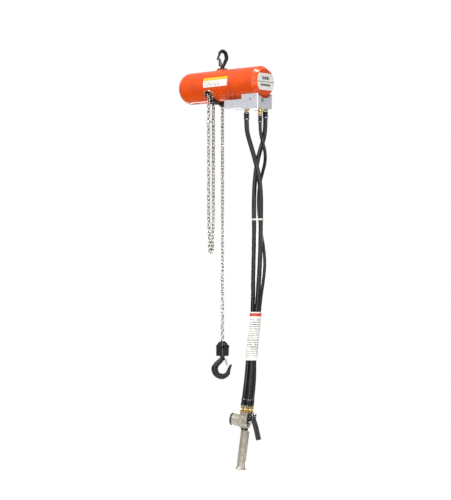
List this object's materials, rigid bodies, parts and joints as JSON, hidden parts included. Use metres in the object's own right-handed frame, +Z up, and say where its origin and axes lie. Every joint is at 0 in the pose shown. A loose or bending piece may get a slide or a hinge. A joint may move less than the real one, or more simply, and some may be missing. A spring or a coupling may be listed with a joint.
{
  "type": "chain hoist",
  "caption": "Pneumatic chain hoist with swivel hooks, air motor, reduction gears, load chain, slack loop, hoses and a two-lever pendant.",
  "frame": {"origin": "centre of the bowl of the top hook, on the line of the load chain", "axes": "+X along the body towards the motor end, -Y towards the side with the nameplate and the slack chain port, +Z up"},
  "size_m": [0.3666, 0.1253, 1.4219],
  "materials": {
    "orange_enamel": "gloss",
    "black_enamel": "satin",
    "forged_black": "satin",
    "zinc_chain": "plated",
    "steel": "ground",
    "cast_aluminium": "machined",
    "grey_casting": "satin",
    "brass": "machined",
    "hose_rubber": "smooth",
    "black_crimp": "satin",
    "plate_white": "printed",
    "sleeve_vinyl": "soft",
    "nylon": "smooth",
    "cast_iron": "machined"
  },
  "bodies": {
    "hanger": {"suspension_hook": "forged_black", "suspension_nut": "steel", "suspension_latch_pin": "steel"},
    "top_latch": {"suspension_latch": "steel"},
    "wheel": {"lift_wheel": "steel", "output_gear": "steel"},
    "countershaft_one": {"countershaft_1": "steel"},
    "countershaft_two": {"countershaft_2": "steel"},
    "motor_rotor": {"motor_shaft": "steel", "rotor": "steel", "rotor_vanes": "nylon", "brake_disc": "steel"},
    "brake": {"brake_piston": "cast_aluminium"},
    "spool": {"main_spool": "steel"},
    "limit_rocker": {"limit_lever": "black_enamel"},
    "chain_two": {"load_chain_2": "zinc_chain"},
    "chain_three": {"load_chain_3": "zinc_chain"},
    "hook_block": {"hook_block_front": "black_enamel", "hook_block_rear": "black_enamel", "hook_block_screws": "steel", "chain_end_pin": "steel", "load_chain_4": "zinc_chain"},
    "slack_bight": {"slack_loop": "zinc_chain"},
    "load_hook": {"load_hook": "forged_black", "load_hook_nut": "steel", "load_latch_pin": "steel"},
    "load_latch": {"load_latch": "steel"},
    "raise_lever": {"raise_lever": "black_enamel"},
    "lower_lever": {"lower_lever": "black_enamel"},
    "raise_plunger": {"raise_plunger": "steel"},
    "lower_plunger": {"lower_plunger": "steel"},
    "hoist": {"suspension_collar": "black_enamel", "lift_housing": "orange_enamel", "gear_cover": "orange_enamel", "motor_cover": "orange_enamel", "seam_ring": "cast_aluminium", "housing_screws": "steel", "label_plates": "plate_white", "chain_guide": "black_enamel", "slack_port_ring": "cast_aluminium", "chain_anchor": "steel", "gear_plate": "cast_aluminium", "ball_bearings": "steel", "motor_liner": "cast_iron", "motor_end_plates": "cast_iron", "brake_springs": "steel", "valve_manifold": "cast_aluminium", "hose_fittings": "brass", "upper_chain": "zinc_chain", "chain_stop": "cast_aluminium", "supply_hose": "hose_rubber", "raise_hose": "hose_rubber", "lower_hose": "hose_rubber", "hose_ferrules": "black_crimp", "hose_tie": "nylon", "warning_sleeve": "sleeve_vinyl", "pendant_body": "grey_casting", "pendant_cap": "black_enamel", "lever_bracket": "black_enamel", "lever_pin": "steel"}
  },
  "joints": [
    {"name": "hoist_swivel", "type": "hinge", "parent": "hanger", "child": "hoist", "pos_m": [0, 0, -0.045], "axis": [0, 0, 1], "continuous": true},
    {"name": "top_latch_hinge", "type": "hinge", "parent": "hanger", "child": "top_latch", "pos_m": [0, -0.01064, -0.02996], "axis": [-1, 0, 0], "range_deg": [0, 35], "stiffness_Nm_per_rad": 0.02, "springref_deg": -17.19},
    {"name": "lift", "type": "slide", "parent": "hoist", "child": "hook_block", "axis": [0, 0, 1], "range_m": [0, 0.648], "deforming": ["upper_chain", "load_chain_2", "load_chain_3", "load_chain_4", "slack_loop"]},
    {"name": "chain_two_slide", "type": "slide", "parent": "hoist", "child": "chain_two", "axis": [0, 0, 1], "range_m": [0, 0.218]},
    {"name": "chain_three_slide", "type": "slide", "parent": "hoist", "child": "chain_three", "axis": [0, 0, 1], "range_m": [0, 0.434]},
    {"name": "slack_slide", "type": "slide", "parent": "hoist", "child": "slack_bight", "axis": [0, 0, -1], "range_m": [0, 0.326]},
    {"name": "wheel_turn", "type": "hinge", "parent": "hoist", "child": "wheel", "pos_m": [0, -0.02328, -0.1035], "axis": [1, 0, 0], "range_deg": [0, 1600.21]},
    {"name": "countershaft_one_turn", "type": "hinge", "parent": "hoist", "child": "countershaft_one", "pos_m": [-0.05, -0.00088, -0.1035], "axis": [1, 0, 0], "range_deg": [-3993.02, 0]},
    {"name": "countershaft_two_turn", "type": "hinge", "parent": "hoist", "child": "countershaft_two", "pos_m": [-0.05, -0.04568, -0.1035], "axis": [1, 0, 0], "range_deg": [-3993.02, 0]},
    {"name": "motor_turn", "type": "hinge", "parent": "hoist", "child": "motor_rotor", "pos_m": [0.07, -0.02328, -0.1035], "axis": [1, 0, 0], "range_deg": [0, 9975.05]},
    {"name": "brake_release", "type": "slide", "parent": "hoist", "child": "brake", "axis": [-1, 0, 0], "range_m": [0, 0.0012], "stiffness_N_per_m": 5000, "springref_m": -0.004, "deforming": ["brake_springs"]},
    {"name": "spool_shift", "type": "slide", "parent": "hoist", "child": "spool", "axis": [1, 0, 0], "range_m": [-0.004, 0.004], "stiffness_N_per_m": 800},
    {"name": "limit_rock", "type": "hinge", "parent": "hoist", "child": "limit_rocker", "pos_m": [0, -0.02328, -0.165], "axis": [1, 0, 0], "range_deg": [-4, 4], "stiffness_Nm_per_rad": 0.8},
    {"name": "load_hook_swivel", "type": "hinge", "parent": "hook_block", "child": "load_hook", "pos_m": [0, 0, -1.0261], "axis": [0, 0, 1], "continuous": true},
    {"name": "load_latch_hinge", "type": "hinge", "parent": "load_hook", "child": "load_latch", "pos_m": [0.00864, 0.00778, -1.03696], "axis": [-0.6691, 0.7431, 0], "range_deg": [0, 35], "stiffness_Nm_per_rad": 0.02, "springref_deg": -17.19},
    {"name": "raise_lever_press", "type": "hinge", "parent": "hoist", "child": "raise_lever", "pos_m": [0.17757, -0.04745, -1.21366], "axis": [-0.3417, 0.9387, -0.0459], "range_deg": [0, 15], "stiffness_Nm_per_rad": 0.5, "springref_deg": -14.32},
    {"name": "lower_lever_press", "type": "hinge", "parent": "hoist", "child": "lower_lever", "pos_m": [0.17757, -0.04745, -1.21366], "axis": [-0.3417, 0.9387, -0.0459], "range_deg": [0, 15], "stiffness_Nm_per_rad": 0.5, "springref_deg": -14.32},
    {"name": "raise_plunger_push", "type": "slide", "parent": "hoist", "child": "raise_plunger", "axis": [-0.9355, -0.335, 0.1129], "range_m": [0, 0.0056]},
    {"name": "lower_plunger_push", "type": "slide", "parent": "hoist", "child": "lower_plunger", "axis": [-0.9355, -0.335, 0.1129], "range_m": [0, 0.0056]}
  ],
  "couplings": [
    {"joint": "chain_two_slide", "follows": "lift", "ratio": 0.33333},
    {"joint": "chain_three_slide", "follows": "lift", "ratio": 0.66667},
    {"joint": "slack_slide", "follows": "lift", "ratio": 0.5},
    {"joint": "wheel_turn", "follows": "lift", "rad_per_m": 42.965},
    {"joint": "countershaft_one_turn", "follows": "lift", "rad_per_m": -107.41},
    {"joint": "countershaft_two_turn", "follows": "lift", "rad_per_m": -107.41},
    {"joint": "motor_turn", "follows": "lift", "rad_per_m": 268.53},
    {"joint": "raise_plunger_push", "follows": "raise_lever_press", "m_per_rad": 0.0213},
    {"joint": "lower_plunger_push", "follows": "lower_lever_press", "m_per_rad": 0.0213}
  ]
}
